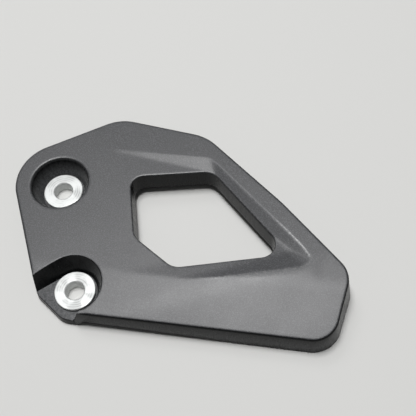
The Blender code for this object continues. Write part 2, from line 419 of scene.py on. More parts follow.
class Shell:
    """A mesh under construction: points and faces, from strips between rings and filled sheets.

    Each point carries a share from 0 to 1: on the face how far handling has rubbed it, and on the walls
    how much dust clings to it. On the rims, the crests and the band's bend the share also paints a lighter
    line, a painted highlight.
    """

    def __init__(self) -> None:
        """Start with no points and no faces."""
        self.points: list[np.ndarray] = []
        self.rub_dust_highlight: list[np.ndarray] = []
        self.faces: list[tuple[int, ...]] = []
        self.count = 0

    def add(self, ring: np.ndarray, rub_dust_highlight: np.ndarray | float = 0.0) -> np.ndarray:
        """Add points.

        Args:
            ring: The points.
            rub_dust_highlight: Their share, one for each or one for all.

        Returns:
            Their indices.
        """
        self.points.append(np.asarray(ring, float))
        self.rub_dust_highlight.append(np.broadcast_to(rub_dust_highlight, len(ring)))
        index = np.arange(self.count, self.count + len(ring))
        self.count += len(ring)
        return index

    def face(self, corners: Sequence[np.ndarray]) -> None:
        """Add one face with its own corner points."""
        self.faces.append(tuple(int(k) for k in self.add(np.array(corners))))

    def strip(self, rings: Sequence[np.ndarray], closed: bool, rub_dust_highlight: Sequence[float] | None = None) -> None:
        """Add the bands of faces between rings that have the same number of points.

        Args:
            rings: The rings, in order.
            closed: Whether each ring goes round.
            rub_dust_highlight: The share of each ring's points.
        """
        rows = [self.add(ring, share) for ring, share in zip(rings, rub_dust_highlight or [0.0] * len(rings))]
        for upper, lower in zip(rows, rows[1:]):
            span = len(upper) if closed else len(upper) - 1
            for i in range(span):
                j = (i + 1) % len(upper)
                self.faces.append((int(upper[i]), int(upper[j]), int(lower[j]), int(lower[i])))

    def sheet(
        self,
        outer: np.ndarray,
        holes: Sequence[np.ndarray],
        extra: np.ndarray,
        surface: Height,
        drop: float = 0.0,
        rub_dust_highlight: Height | None = None,
    ) -> None:
        """Fill a region with triangles that follow a surface.

        Args:
            outer: The region's 3-D boundary loop.
            holes: The 3-D loops of its holes.
            extra: Plan points to put inside the region.
            surface: Gives the height over plan points.
            drop: Distance by which the sheet lies under that surface.
            rub_dust_highlight: Gives the share of the sheet's points over plan points.
        """
        loops = [outer, *holes]
        plan = [loop[:, :2] for loop in loops]
        keep = inside_loop(extra, plan[0])
        for hole in plan[1:]:
            keep &= ~inside_loop(extra, hole)
        extra = extra[keep]
        rims, start = [], 0
        for loop in plan:
            rims.append(list(range(start, start + len(loop))))
            start += len(loop)
        flat = np.vstack([*plan, extra])
        made = delaunay_2d_cdt([Vector(p) for p in flat], [], rims, FILL_AROUND_HOLES, SAME_POINT)
        coords = np.array([tuple(v) for v in made[0]])
        height = surface(coords) - drop
        for new, sources in enumerate(made[3]):
            first = min(sources, default=len(flat))
            if first < start:
                height[new] = np.vstack(loops)[first, 2]
        index = self.add(np.column_stack([coords, height]), rub_dust_highlight(coords) if rub_dust_highlight else 0.0)
        self.faces += [tuple(int(index[k]) for k in triangle) for triangle in made[2]]


@dataclass(frozen=True)
class Frame:
    """Where the sketch lies in the row frame."""

    origin: Span

    @classmethod
    def from_cad(cls) -> Frame:
        """Return the frame whose sketch origin is the axis of the CAD model's lower bush."""
        low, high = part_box("bush_lower")
        return cls(((low.x + high.x) / 2.0, (low.y + high.y) / 2.0))

    def place(self, points: np.ndarray) -> np.ndarray:
        """Return sketch points in metres in the row frame."""
        return points / MM_PER_M + np.array([*self.origin, 0.0])

    def mesh(self, name: str, shell: Shell, weld: float = 0.004) -> bpy.types.Mesh:
        """Return a shell as a mesh with welded seams and all faces out.

        Args:
            name: Name of the mesh.
            shell: The shell, in sketch millimetres.
            weld: Points nearer than this many millimetres become one.

        Returns:
            The mesh, in metres in the row frame.
        """
        bm = bmesh.new()
        # Each point's share of wear, dust and painted highlight.
        rub_dust_highlight = bm.verts.layers.float.new("rub_dust_highlight")
        for point, share in zip(self.place(np.vstack(shell.points)), np.concatenate(shell.rub_dust_highlight)):
            bm.verts.new(point)[rub_dust_highlight] = share
        bm.verts.ensure_lookup_table()
        for face in shell.faces:
            if len(set(face)) == len(face):
                bm.faces.new([bm.verts[k] for k in face])
        bmesh.ops.remove_doubles(bm, verts=bm.verts, dist=weld / MM_PER_M)
        bmesh.ops.dissolve_degenerate(bm, edges=bm.edges, dist=weld / MM_PER_M)
        bmesh.ops.recalc_face_normals(bm, faces=bm.faces)
        open_edges = sum(len(edge.link_faces) != 2 for edge in bm.edges)
        volume = bm.calc_volume() * MM_PER_M**3
        LOG.info("%s: %d faces, %d open edges, %.0f mm3", name, len(bm.faces), open_edges, volume)
        made = bpy.data.meshes.new(name)
        bm.to_mesh(made)
        bm.free()
        return made


@dataclass(frozen=True)
class Mouth:
    """How the walls of the lower recess, open to the left and the front, are drawn.

    grow is how far outside the recess's own wall they lie, and inset how far inside the outline they end.
    end is the reach of the end plane at the face's height, end_drift how much less it reaches for each
    millimetre down, and turn where the cone hands over to it, in degrees past +X.
    """

    grow: float
    inset: float
    end: float
    end_drift: float
    turn: float


@dataclass
class Walls:
    """The moulding's wall lines.

    mouth and pad are the lower recess's own and those of the pad round it, clockwise from the left side
    to the front. skirt and inner are the outside's and the skirt's inner wall, anticlockwise from the
    pad's front edge to its left edge. high and low run from the mouth's front corner along the outside to
    its left corner, above and below the recess floor, and meet the pad's edges at the indices before and
    after.
    """

    mouth: Columns
    pad: Columns
    skirt: Columns
    inner: Columns
    high: Columns
    low: Columns
    before: int
    after: int


@dataclass(frozen=True)
class WearDustHighlight:
    """Where handling has rubbed the face and where dust clings, as shares from 0 to 1.

    reach is how far apart two places are compared to tell a ridge, and proud how far it stands out where
    it is fully rubbed. Ridges nearer the front than divide follow front, which sets in along X, and the
    others follow heel from heel_least. On the ridges the share is wear and partly a painted highlight. The
    band's bend gets a painted highlight of bend over a height of bend_width, where the face is the band
    within on_band. The rims rub, with a painted highlight, over their first rim_rise rings and not on
    their last rim_fall. The dust on the outer walls is seam at the recess floor and foot at the rim.
    """

    reach: float = 0.5
    proud: float = 0.03
    divide: float = 14.0
    front: Fade = Fade(38.0, 48.0, 0.6)
    heel_least: float = 0.05
    heel: Fade = Fade(60.0, 74.0, 0.95)
    bend: float = 0.12
    bend_width: float = 0.22
    on_band: float = 0.02
    window_rim: float = 0.5
    recess_rim: float = 0.25
    rim_rise: float = 2.0
    rim_fall: float = 4.0
    seam: float = 0.5
    foot: float = 0.3


@dataclass
class GuardPlate:
    """The black moulding: its face, walls, recesses, window and open back.

    Attributes are millimetres and degrees. They agree with the CAD model's, apart from the skirt's taper
    and the band's two sides, and from the rounds and blends, which are only here.
    """

    face: float = 10.5
    front_edge: float = 8.5
    pad_foot: float = 0.5
    recess_floor: float = 3.2
    window_skirt: float = 3.4
    skin: float = 2.4
    wall: float = 2.1
    skirt_taper: float = 2.2
    recess_radius: float = 7.4
    recess_draft: float = 21.0
    seat_radius: float = 5.3
    upper: Span = (-13.2, 37.7)
    mouth_heading: float = 130.0
    mouth_end: float = 1.7
    mouth_drift: float = 0.384
    mouth_turn: float = 63.8
    pad_end: float = 11.5
    pad_drift: float = 0.873
    pad_turn: float = 42.0
    outline: Polygon = Polygon(
        (
            Edge(-90.0, 9.3, 8.5),
            Edge(-10.7, 86.7, 9.0),
            Edge(46.5, 72.5, 60.0),
            Edge(50.5, 70.8, 18.0),
            Edge(81.3, 66.8, 15.0),
            Edge(121.5, 55.8, 16.0),
            Edge(204.8, 11.9, 3.5),
            Edge(234.0, 8.7, 6.0),
        ),
        6.5,
    )
    window: Polygon = Polygon(
        (
            Edge(-76.3, 17.6, 5.0),
            Edge(45.8, 14.9, 6.5),
            Edge(100.1, 18.1, 4.5),
            Edge(194.4, 22.3, 7.0),
            Edge(236.7, 19.2, 6.5),
        ),
        -4.0,
        (38.0, 29.0),
    )

    # The face: the border and the slopes in it, with the rounds of their crests, which grow with height.
    border: Slope = Slope(13.1, 14.0, 1.6, 0.10)
    slopes: tuple[Slope, ...] = (
        Slope(-67.5, 1.5, 3.5, 0.10),
        Slope(-67.5, 6.4, 10.4, 0.16),
        Slope(45.8, 62.5, 20.0, 0.20),
        Slope(81.2, 53.0, 11.0, 0.12),
    )
    crest_rounds: tuple[float, ...] = (0.0, 0.0, 1.3, 0.35)
    crest_full: float = 1.6
    crest_blend: Fade = Fade(0.0, 0.35, 0.06)

    # The band: its sides by the front and by the bushes. Left of level_out, blended over the second
    # number, the bushes' side runs level. The crown starts this far from the front edge, turns over the
    # next number and bends at the third's rate. Its crease is soft by the bushes and the heel end.
    bands: tuple[Slope, Slope] = (Slope(90.0, -9.3, 10.75, 0.35), Slope(77.8, -6.0, 7.3, 0.35))
    level_out: Span = (17.0, 8.0)
    crown: Place = (15.5, 5.0, 0.010)
    crease_blend: float = 0.16
    crease_fades: tuple[Fade, Fade] = (Fade(34.0, 52.0, -0.08), Fade(76.0, 82.0, 0.6))

    # The round edges' reach, and how it grows from the tight corners at either end of the mouth.
    outer_round: float = 0.80
    mouth_round: float = 0.50
    window_round: float = 0.70
    recess_round: float = 1.00
    lug_round: Fade = Fade(0.0, 2.0, 0.35)
    left_growths: tuple[Growth, Growth] = (Growth(0.50, 0.10), Growth(0.15, 0.55))
    front_growth: Growth = Growth(0.10, 0.22)

    # How finely the meshes are divided. The face's triangles are halved where it bends more than bends.
    round_steps: int = 8
    lug_steps: int = 4
    circle_steps: int = 120
    mouth_steps: int = 72
    front_parts: int = 9
    left_parts: int = 4
    straight_parts: int = 9
    end_parts: int = 2
    grid: float = 0.85
    grid_from: Span = (-32.0, -12.0)
    grid_to: Span = (93.0, 70.0)
    bend_reach: float = 0.7
    bends: Span = (0.010, 0.030)

    # How the outline's own columns are told apart at the mouth: how near a side's line they lie, how far
    # they keep from the mouth's corners, the lug's highest Y and the left side's lowest.
    on_side: float = 1.0
    lug_gap: float = 0.15
    skirt_gap: float = 0.3
    lug_top: float = 3.0
    left_foot: float = -4.0
    seam_over_rim: float = 0.2
    wear_dust_highlight: WearDustHighlight = WearDustHighlight()

    @property
    def front_side(self) -> Edge:
        """The outline's straight front side."""
        return self.outline.edges[0]

    @property
    def left_side(self) -> Edge:
        """The outline's side that the lower recess opens through, besides the front."""
        return self.outline.edges[6]

    def height(self, plan: np.ndarray) -> np.ndarray:
        """Return the height of the moulding's face, its creases blended.

        Args:
            plan: Plan points.

        Returns:
            One height for each.
        """
        flat = np.zeros(len(plan))
        rise = smooth_max(flat, self.border.rise(plan), self.border.blend)
        bowl = flat
        for slope, turn in zip(self.slopes, self.crest_rounds):
            climb = slope.rise(plan)
            high = np.clip(np.maximum(bowl, climb), 0.0, self.crest_full)
            bowl = smooth_max(bowl, climb, slope.blend + turn * high)
        crest = smooth_min(rise, bowl, self.crest_blend.at(rise) + LEAST_BLEND)
        crease = self.crease_blend + sum(fade.at(plan[:, 0]) for fade in self.crease_fades)
        return smooth_min(self.face + crest, self.band(plan), crease)

    def band(self, plan: np.ndarray) -> np.ndarray:
        """Return the height of the band that falls to the front edge, bent softly on a line from the kink.

        Args:
            plan: Plan points.

        Returns:
            One height for each.
        """
        front, bushes = self.band_sides(plan)
        start, length, rate = self.crown
        past = plan[:, 1] - self.bands[0].distance - start
        turned = np.clip(past, 0.0, length)
        front = front - rate * turned * (2.0 * past - turned)
        return self.front_edge + smooth_min(front, bushes, self.bands[0].blend)

    def band_sides(self, plan: np.ndarray) -> tuple[np.ndarray, np.ndarray]:
        """Return how far the band's two sides are above the front edge.

        Args:
            plan: Plan points.

        Returns:
            The side by the front, and the side by the bushes.
        """
        place, blend = self.level_out
        levelled = smooth_max(plan[:, 0], np.full(len(plan), place), blend)
        return self.bands[0].rise(plan), self.bands[1].rise(np.column_stack([levelled, plan[:, 1]]))

    def under_skin(self, plan: np.ndarray) -> np.ndarray:
        """Return the height of the face's hidden side over plan points."""
        return self.height(plan) - self.skin

    def skirt(self, plan: np.ndarray) -> np.ndarray:
        """Return the height of the skirt's lower rim over plan points."""
        heel_end = float(self.outline.columns(self.face).at(0.0)[:, 0].max())
        return (heel_end - plan[:, 0]) * slope_of(self.skirt_taper)

    def rim(self, columns: Columns) -> np.ndarray:
        """Return the 3-D points at which columns meet the skirt's lower rim."""
        return columns.ring(columns.meet(self.skirt))

    def around(self, plan: np.ndarray, step: float) -> np.ndarray:
        """Return the face's mean height at four places, a step away from each plan point."""
        offsets = step * np.array([[1.0, 0.0], [-1.0, 0.0], [0.0, 1.0], [0.0, -1.0]])
        return sum(self.height(plan + offset) for offset in offsets) / 4.0

    def bend(self, plan: np.ndarray) -> np.ndarray:
        """Return how much the face bends round plan points."""
        return np.abs(self.around(plan, self.grid * self.bend_reach) - self.height(plan))

    def rub_and_highlight(self, plan: np.ndarray) -> np.ndarray:
        """Return how far handling has rubbed the face: its ridges, and the band's bend.

        Args:
            plan: Plan points.

        Returns:
            A share from 0 to 1 for each: wear and partly a painted highlight on the ridges, and a painted
            highlight on the band's bend.
        """
        wear_dust_highlight, height = self.wear_dust_highlight, self.height(plan)
        # Ridges: real wear, and partly a painted highlight along the crests.
        proud = np.clip((height - self.around(plan, wear_dust_highlight.reach)) / wear_dust_highlight.proud, 0.0, 1.0)
        by_heel = wear_dust_highlight.heel_least + wear_dust_highlight.heel.at(plan[:, 0])
        ridge = proud * np.where(plan[:, 1] < wear_dust_highlight.divide, wear_dust_highlight.front.at(plan[:, 0]), by_heel)
        # A painted highlight along the band's bend, where its two sides meet.
        front, bushes = self.band_sides(plan)
        on_band = np.abs(self.band(plan) - height) < wear_dust_highlight.on_band
        return np.maximum(ridge, wear_dust_highlight.bend * np.exp(-(((front - bushes) / wear_dust_highlight.bend_width) ** 2)) * on_band)

    def cone(self, height: float, grow: float = 0.0) -> float:
        """Return the radius of a recess at a height, grown outwards."""
        return self.recess_radius + grow + (height - self.recess_floor) * slope_of(self.recess_draft)

    def cup(self, grow: float, middle: Span, start: float, stop: float, steps: int) -> Columns:
        """Return the wall lines of a recess's cone between two headings.

        Args:
            grow: How far outside the recess's own wall they lie.
            middle: Where the recess's axis stands.
            start: The heading of the first one.
            stop: The heading of the last one.
            steps: How many parts the arc between them has.

        Returns:
            The columns.
        """
        arc = np.array([unit(start + (stop - start) * k / steps) for k in range(steps + 1)])
        foot = np.array(middle) + arc * self.cone(self.face, grow)
        return Columns(foot, arc * -slope_of(self.recess_draft), self.face)

    def upper_recess(self, grow: float = 0.0) -> Columns:
        """Return the upper recess's wall lines, clockwise, grown outwards."""
        whole = self.cup(grow, self.upper, 360.0, 0.0, self.circle_steps)
        return whole.part(0, len(whole) - 2)

    def corner(self, heading: float, distance: float, drift: float, side: Edge, inset: float) -> Columns:
        """Return the wall line where a plane of the mouth meets a side of the outline.

        Args:
            heading: The way that the plane faces.
            distance: How far out the plane is at the face's height.
            drift: How far it moves out for each millimetre down.
            side: The side of the outline.
            inset: How far inside the outline the line lies.

        Returns:
            One column.
        """
        basis = np.array([unit(heading), unit(side.heading)])
        outer = slope_of(self.outline.draft)
        foot = np.linalg.solve(basis, np.array([distance, side.distance - inset]))
        return Columns(foot[None], np.linalg.solve(basis, np.array([drift, outer]))[None], self.face)

    def mouth(self, rim: Mouth) -> Columns:
        """Return the open recess's wall lines.

        Args:
            rim: How they are drawn.

        Returns:
            The columns, clockwise from the left side round the bush to the front.
        """
        radius, slope = self.cone(self.face, rim.grow), -slope_of(self.recess_draft)
        left = self.corner(self.mouth_heading, radius, slope, self.left_side, rim.inset)
        front = self.corner(0.0, rim.end, -rim.end_drift, self.front_side, rim.inset)
        arc = self.cup(rim.grow, (0.0, 0.0), self.mouth_heading, -rim.turn, self.mouth_steps)
        straight = spread(left, arc.first(), self.straight_parts)
        end = [] if rim.grow else [spread(arc.last(), front, self.end_parts)]
        return join([left, straight, arc, *end, front])

    def pad(self, inset: float) -> Columns:
        """Return the wall lines of the pad round the open recess, which end inside the outline by inset."""
        return self.mouth(Mouth(self.wall, inset, self.pad_end, self.pad_drift, self.pad_turn))

    def sunk(self, column: Columns, side: Edge) -> Columns:
        """Return the wall line that runs straight down a side from where a column meets the recess floor."""
        drift = unit(side.heading)[None] * slope_of(self.outline.draft)
        start = column.at(self.recess_floor) - drift * (self.face - self.recess_floor)
        return Columns(start, drift, self.face)

    def span(self, front: Columns, left: Columns, height: float, way: Way) -> tuple[int, int]:
        """Return which of the outline's own columns lie between two corner columns.

        Args:
            front: The corner column on the front side.
            left: The corner column on the left side.
            height: The height at which their places are compared.
            way: Which way round they are followed.

        Returns:
            The first one's index and the last one's.
        """
        whole = self.outline.columns(self.face).at(height)
        x, y = whole[:, 0], whole[:, 1]
        along_front = x - front.at(height)[0, 0]
        along_left = (whole - left.at(height)[0]) @ unit(self.left_side.heading + 90.0)
        on_front = y < self.on_side - self.front_side.distance
        if way is Way.BY_LUG:
            below_left = (along_left > self.lug_gap) & (x < 0.0) & (y < self.lug_top)
            before_front = on_front & (along_front < -self.lug_gap)
            return nearest(along_left, below_left), nearest(-along_front, before_front)
        on_left = whole @ unit(self.left_side.heading) > self.left_side.distance - self.on_side
        above_left = on_left & (y > self.left_foot) & (along_left < -self.skirt_gap)
        past_front = on_front & (along_front > self.skirt_gap)
        return nearest(along_front, past_front), nearest(-along_left, above_left)

    def walls(self) -> Walls:
        """Draw all the wall lines round the outside and the lower recess.

        Returns:
            The wall lines.
        """
        reach = self.mouth_end + self.cone(self.face) - self.recess_radius
        mouth = self.mouth(Mouth(0.0, 0.0, reach, self.mouth_drift, self.mouth_turn))
        pad, outer_pad = self.pad(self.wall), self.pad(0.0)
        first, last = self.span(outer_pad.last(), pad.first(), self.face, Way.BY_HEEL_END)
        whole, inner_whole = self.outline.columns(self.face), self.outline.columns(self.face, -self.wall)
        skirt = join([outer_pad.last(), whole.part(first, last), outer_pad.first()])
        inner = join([pad.last(), inner_whole.part(first, last), pad.first()])
        front, left = mouth.last(), mouth.first()
        outside = []
        sunk = self.sunk(front, self.front_side), self.sunk(left, self.left_side)
        for start, stop in ((front, left), sunk):
            by_front = spread(start, outer_pad.last(), self.front_parts)
            by_left = spread(outer_pad.first(), stop, self.left_parts)
            outside.append(join([start, by_front, skirt, by_left, stop]))
        high, low = outside
        after = len(high) - 1 - self.left_parts
        return Walls(mouth, pad, skirt, inner, high, low, self.front_parts, after)

    def rounds(self, loop: Columns, outside: int) -> np.ndarray:
        """Return how far the face's round edge reaches at each wall line.

        Args:
            loop: The wall lines: the outside's from the mouth's front corner, and then the mouth's.
            outside: How many of them are the outside's.

        Returns:
            One reach for each, smaller near the mouth's tight corners.
        """
        to_front, to_left = (np.linalg.norm(loop.foot - loop.foot[at], axis=1) for at in (0, outside - 1))
        widest = np.where(np.arange(len(loop)) < outside, self.outer_round, self.mouth_round)
        near_left = [growth.at(to_left) for growth in self.left_growths]
        return np.minimum.reduce([widest, self.front_growth.at(to_front), *near_left])

    def edge_rings(
        self, columns: Columns, top: np.ndarray, radius: np.ndarray, surface: Height
    ) -> list[np.ndarray]:
        """Return the rings of the round edge between a surface and a closed loop of walls.

        Args:
            columns: The loop's wall lines, with the surface on their left.
            top: The height at which each wall line meets the surface.
            radius: How far the round reaches along the surface and down each wall.
            surface: Gives the surface's height.

        Returns:
            The rings, from the surface to the wall.
        """
        corner = columns.ring(top)
        inward = corner[:, :2] + miters(corner[:, :2]) * radius[:, None]
        on_face = np.column_stack([inward, surface(inward)]) - corner
        on_wall = columns.ring(top - radius) - corner
        return self.arc_rings(corner, on_face, on_wall, self.round_steps)

    @staticmethod
    def arc_rings(
        corner: np.ndarray, on_face: np.ndarray, on_wall: np.ndarray, steps: int
    ) -> list[np.ndarray]:
        """Return the rings of a round edge.

        Args:
            corner: The points of the sharp edge.
            on_face: The way from each to the round's start on the surface.
            on_wall: The way from each to the round's end on the wall.
            steps: How many bands the round has.

        Returns:
            The rings, from the surface to the wall.
        """
        shares = [k / steps for k in range(steps + 1)]
        return [corner + on_face * (1.0 - share) ** 2 + on_wall * share**2 for share in shares]

    def face_points(self) -> np.ndarray:
        """Spread points for the face: an even grid, and close rows along each crease.

        Returns:
            The plan points.
        """
        (x_from, y_from), (x_to, y_to) = self.grid_from, self.grid_to
        xs, rows = np.arange(x_from, x_to, self.grid), []
        for i, y in enumerate(np.arange(y_from, y_to, self.grid * ROW)):
            rows.append(np.column_stack([xs + self.grid / 2.0 * (i % 2), np.full(len(xs), y)]))
        points = np.vstack(rows)
        fine = self.halved(points[self.bend(points) > self.bends[0]], self.grid)
        return np.vstack([points, fine, self.halved(fine[self.bend(fine) > self.bends[1]], self.grid / 2.0)])

    @staticmethod
    def halved(points: np.ndarray, size: float) -> np.ndarray:
        """Return the middles of the sides that go out from plan points of a triangle grid of a size."""
        offsets = size * np.array([[0.5, 0.0], [0.25, ROW / 2.0], [-0.25, ROW / 2.0]])
        return np.vstack([points + offset for offset in offsets])

    def build(self) -> Shell:
        """Build the whole moulding but its ribs.

        Returns:
            The moulding, as one closed shell.
        """
        shell, walls = Shell(), self.walls()
        count = len(walls.high)
        loop = join([walls.high, walls.mouth.part(1, len(walls.mouth) - 2)])
        rings = self.edge_rings(loop, loop.meet(self.height), self.rounds(loop, count), self.height)
        upper = self.upper_recess()
        holes = []
        for hole, reach in (
            (self.window.columns(self.face).reversed(), self.window_round),
            (upper, self.recess_round),
        ):
            top = hole.meet(self.height)
            holes.append(self.edge_rings(hole, top, np.full(len(top), reach), self.height))
        points = self.face_points()
        shell.sheet(rings[0], [hole[0] for hole in holes], points, self.height, 0.0, self.rub_and_highlight)
        shell.strip(rings, True)
        steps, wear_dust_highlight = self.round_steps, self.wear_dust_highlight
        # The rims' share is wear with a painted highlight line, set in over the first rings and gone by the
        # wall.
        shares = [min(1.0, k / wear_dust_highlight.rim_rise, (steps - k) / wear_dust_highlight.rim_fall) for k in range(steps + 1)]
        for hole, rub_and_highlight in zip(holes, (wear_dust_highlight.window_rim, wear_dust_highlight.recess_rim)):
            shell.strip(hole, True, [rub_and_highlight * share for share in shares])
        self.outside(shell, walls, rings[-1])
        mouth_top = np.vstack([rings[-1][count - 1 :], rings[-1][:1]])
        shell.strip([mouth_top, walls.mouth.ring(self.recess_floor)], False)
        self.recess(shell, upper, holes[1][-1])
        self.lug(shell, walls)
        self.inside(shell, walls, holes[0][-1], points)
        return shell

    def outside(self, shell: Shell, walls: Walls, top: np.ndarray) -> None:
        """Add the outer walls from the round edge down to the skirt's rim and the pad.

        Args:
            shell: The shell to add to.
            walls: The wall lines.
            top: Where the walls start, under the round edge.
        """
        high, before, after = walls.high, walls.before, walls.after
        count = len(high)
        heights = np.maximum(self.recess_floor, self.skirt(high.at(self.recess_floor)) + self.seam_over_rim)
        heights[: before + 1] = np.linspace(self.recess_floor, heights[before], before + 1)
        heights[after:] = np.linspace(heights[after], self.recess_floor, count - after)
        middle = high.ring(heights)
        shell.strip([top[:count], middle], False, [0.0, self.wear_dust_highlight.seam])
        skirt = high.part(before, after)
        shell.strip([middle[before : after + 1], self.rim(skirt)], False, [self.wear_dust_highlight.seam, self.wear_dust_highlight.foot])
        for at, start, stop in ((before, 0, before), (after, after, count - 1)):
            shell.strip([middle[start : stop + 1], walls.low.part(start, stop).ring(self.pad_foot)], False)
            # A needle face carries the corner of the skirt's rim on the pad's upright edge.
            rim = self.rim(high.part(at, at))[0]
            shell.face([middle[at], rim, walls.low.part(at, at).ring(self.pad_foot)[0]])

    def recess(self, shell: Shell, upper: Columns, top: np.ndarray) -> None:
        """Add the upper recess: its cone, floor, the bush's seat, and the pad's underside.

        Args:
            shell: The shell to add to.
            upper: The recess's wall lines.
            top: Where its wall starts, under the round edge.
        """
        middle, floor = np.array(self.upper), upper.ring(self.recess_floor)
        directions = (floor[:, :2] - middle) / np.linalg.norm(floor[:, :2] - middle, axis=1)[:, None]
        rings = [top, floor]
        for radius, height in (
            (self.seat_radius, self.recess_floor),
            (self.seat_radius, self.pad_foot),
            (self.cone(self.pad_foot, self.wall), self.pad_foot),
        ):
            rings.append(np.column_stack([middle + directions * radius, np.full(len(floor), height)]))
        shell.strip(rings, True, [0.0, 1.0, 0.0, 0.0, 0.0])

    def seat_ring(self, height: float) -> np.ndarray:
        """Return the edge of the lower bush's seat at a height."""
        turns = np.array([unit(-360.0 * k / self.circle_steps) for k in range(self.circle_steps)])
        return np.column_stack([turns * self.seat_radius, np.full(len(turns), height)])

    def lug(self, shell: Shell, walls: Walls) -> None:
        """Add the lug: the open recess's floor, its outer wall, the bush's seat and the pad's underside.

        Args:
            shell: The shell to add to.
            walls: The wall lines.
        """
        floor, foot, low = self.recess_floor, self.pad_foot, walls.low
        front, left = low.first(), low.last()
        first, last = self.span(front, left, floor, Way.BY_LUG)
        edge = join([left, self.outline.columns(self.face).part(first, last), front])
        away = np.minimum.reduce([np.linalg.norm(edge.foot - edge.foot[at], axis=1) for at in (0, -1)])
        radius = self.lug_round.at(away)
        top = np.full(len(edge), floor)
        corner = edge.ring(top)
        ahead = np.gradient(corner[:, :2], axis=0)
        ahead /= np.linalg.norm(ahead, axis=1)[:, None]
        inward = np.column_stack([-ahead[:, 1], ahead[:, 0], np.zeros(len(ahead))]) * radius[:, None]
        rings = self.arc_rings(corner, inward, edge.ring(top - radius) - corner, self.lug_steps)
        shell.strip([*rings, edge.ring(foot)], False)
        none = np.zeros((0, 2))
        upper_seat, lower_seat = self.seat_ring(floor), self.seat_ring(foot)
        mouth = walls.mouth.ring(floor)[::-1]
        shell.sheet(np.vstack([rings[0], mouth[1:-1]]), [upper_seat], none, level(floor))
        shell.strip([upper_seat, lower_seat], True)
        boundary = [
            low.part(walls.after, len(low) - 2).ring(foot),
            edge.ring(foot),
            low.part(0, walls.before).ring(foot)[1:],
            walls.pad.ring(foot)[::-1],
        ]
        shell.sheet(np.vstack(boundary), [lower_seat], none, level(foot))

    def inside(self, shell: Shell, walls: Walls, window_top: np.ndarray, points: np.ndarray) -> None:
        """Add the open back: the rim, the inner and the pads' walls, the window's skirt and the ceiling.

        Args:
            shell: The shell to add to.
            walls: The wall lines.
            window_top: Where the window's wall starts, under its round edge.
            points: Plan points to put inside the ceiling.
        """
        inner, pad, foot = walls.inner, walls.pad, self.pad_foot
        outer_rim, rim = self.rim(walls.skirt), self.rim(inner)
        ceiling, pad_top = (columns.ring(columns.meet(self.under_skin)) for columns in (inner, pad))
        shell.strip([outer_rim, rim, ceiling], False)
        share = np.linspace(0.0, 1.0, len(pad))
        seam = pad.ring(rim[-1, 2] * (1.0 - share) + rim[0, 2] * share)
        seam[0], seam[-1] = rim[-1], rim[0]
        shell.strip([pad.ring(foot), seam, pad_top], False)
        outer_foot, inner_foot = walls.skirt.ring(foot), inner.ring(foot)
        for at in (0, -1):
            shell.face([outer_rim[at], rim[at], inner_foot[at], outer_foot[at]])
        window = self.window.columns(self.face).reversed()
        grown = self.window.columns(self.face, self.wall).reversed()
        cup = self.upper_recess(self.wall)
        window_ceiling, cup_ceiling = (hole.ring(hole.meet(self.under_skin)) for hole in (grown, cup))
        low = self.window_skirt
        shell.strip([window_top, window.ring(low), grown.ring(low), window_ceiling], True)
        shell.strip([cup.ring(foot), cup_ceiling], True)
        outline = np.vstack([ceiling, pad_top[1:-1]])
        shell.sheet(outline, [window_ceiling, cup_ceiling], points, self.height, self.skin)


@dataclass
class FootLines:
    """The ribs' foot points, the way from each to the rib's top, and the edges between them."""

    feet: list[np.ndarray] = field(default_factory=list)
    rises: list[np.ndarray] = field(default_factory=list)
    edges: list[tuple[int, int]] = field(default_factory=list)

    def add(self, low: np.ndarray, high: np.ndarray) -> None:
        """Add a rib.

        Args:
            low: The points along its foot.
            high: The points over them along its top.
        """
        first = sum(len(part) for part in self.feet)
        self.feet.append(low)
        self.rises.append(high - low)
        self.edges += [(first + k, first + k + 1) for k in range(len(low) - 1)]


